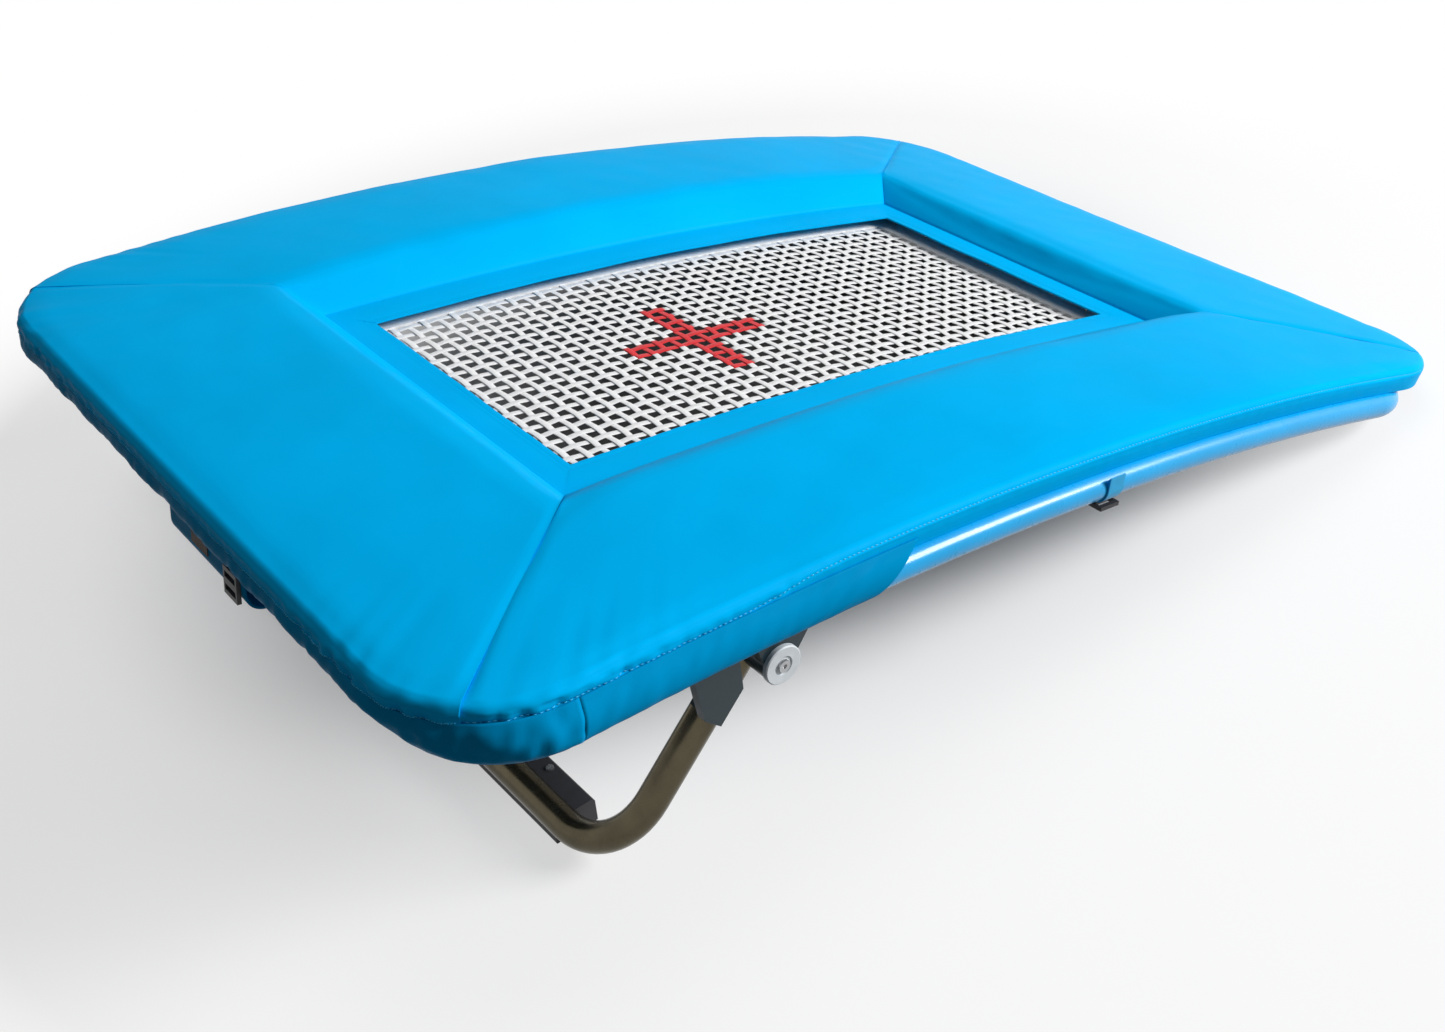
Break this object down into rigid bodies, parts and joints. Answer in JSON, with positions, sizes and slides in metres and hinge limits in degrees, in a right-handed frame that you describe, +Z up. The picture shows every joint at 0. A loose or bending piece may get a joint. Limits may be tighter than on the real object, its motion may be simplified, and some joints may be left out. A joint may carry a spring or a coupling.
{
  "type": "mini trampoline",
  "caption": "Rectangular gymnastics mini trampoline: woven spring-hung bed in an arched tube frame, mitred foam pad, and a folding leg that raises one end.",
  "frame": {"origin": "on the floor, under the middle of the whole trampoline's length and width", "axes": "+Z up, +X along the trampoline towards its low end, +Y to its left seen from the high end"},
  "size_m": [1.6186, 1.153, 0.3558],
  "materials": {
    "frame_paint": "gloss blue powder coat",
    "leg_steel": "dark lacquered steel",
    "zinc_steel": "zinc plated",
    "grey_cap": "fine satin",
    "black_rubber": "matt",
    "bush_plastic": "matt",
    "blue_cover": "glossy coated cloth over foam",
    "bed_webbing": "woven white band",
    "red_webbing": "woven red band",
    "black_plastic": "satin",
    "blue_webbing": "woven band",
    "hook_patch": "hook tape"
  },
  "bodies": {
    "root": {"anchor_rod_high": "zinc_steel", "anchor_rod_left": "zinc_steel", "anchor_rod_low": "zinc_steel", "anchor_rod_right": "zinc_steel", "bed_web": "bed_webbing", "centre_mark": "red_webbing", "corner_bend_high_left": "frame_paint", "corner_bend_high_right": "frame_paint", "corner_bend_low_left": "frame_paint", "corner_bend_low_right": "frame_paint", "end_tube_high": "frame_paint", "end_tube_low": "frame_paint", "flap_high": "blue_cover", "flap_left": "blue_cover", "flap_low": "blue_cover", "flap_right": "blue_cover", "floor_sleeve_left": "black_rubber", "floor_sleeve_right": "black_rubber", "hem_high": "bed_webbing", "hem_left": "bed_webbing", "hem_low": "bed_webbing", "hem_right": "bed_webbing", "hem_rods": "zinc_steel", "hinge_bracket_left": "frame_paint", "hinge_bracket_right": "frame_paint", "hinge_bushes": "bush_plastic", "hinge_housing_left": "frame_paint", "hinge_housing_right": "frame_paint", "leg_stop_left": "frame_paint", "leg_stop_right": "frame_paint", "pad_high": "blue_cover", "pad_left": "blue_cover", "pad_low": "blue_cover", "pad_right": "blue_cover", "side_rail_left": "frame_paint", "side_rail_right": "frame_paint", "skirt_end": "blue_cover", "skirt_left": "blue_cover", "skirt_right": "blue_cover", "skirt_tab": "blue_cover", "springs_high": "zinc_steel", "springs_left": "zinc_steel", "springs_low": "zinc_steel", "springs_right": "zinc_steel", "stop_buffers": "black_rubber", "strap_buckle_left": "black_plastic", "strap_buckle_right": "black_plastic", "strap_left": "blue_webbing", "strap_right": "blue_webbing", "straps_low": "blue_webbing", "tab_buckle": "black_plastic", "tab_patch": "hook_patch"},
    "leg": {"leg_tube": "leg_steel", "hinge_axle_left": "zinc_steel", "hinge_axle_right": "zinc_steel", "hinge_cap_left": "grey_cap", "hinge_cap_right": "grey_cap", "cap_screws": "zinc_steel", "foot_strip": "black_rubber", "foot_strip_screws": "zinc_steel"}
  },
  "joints": [
    {"name": "leg_fold", "type": "hinge", "parent": "root", "child": "leg", "pos_m": [-0.42595, 0, 0.2168], "axis": [0, -1, 0], "range_deg": [0, 122]}
  ]
}
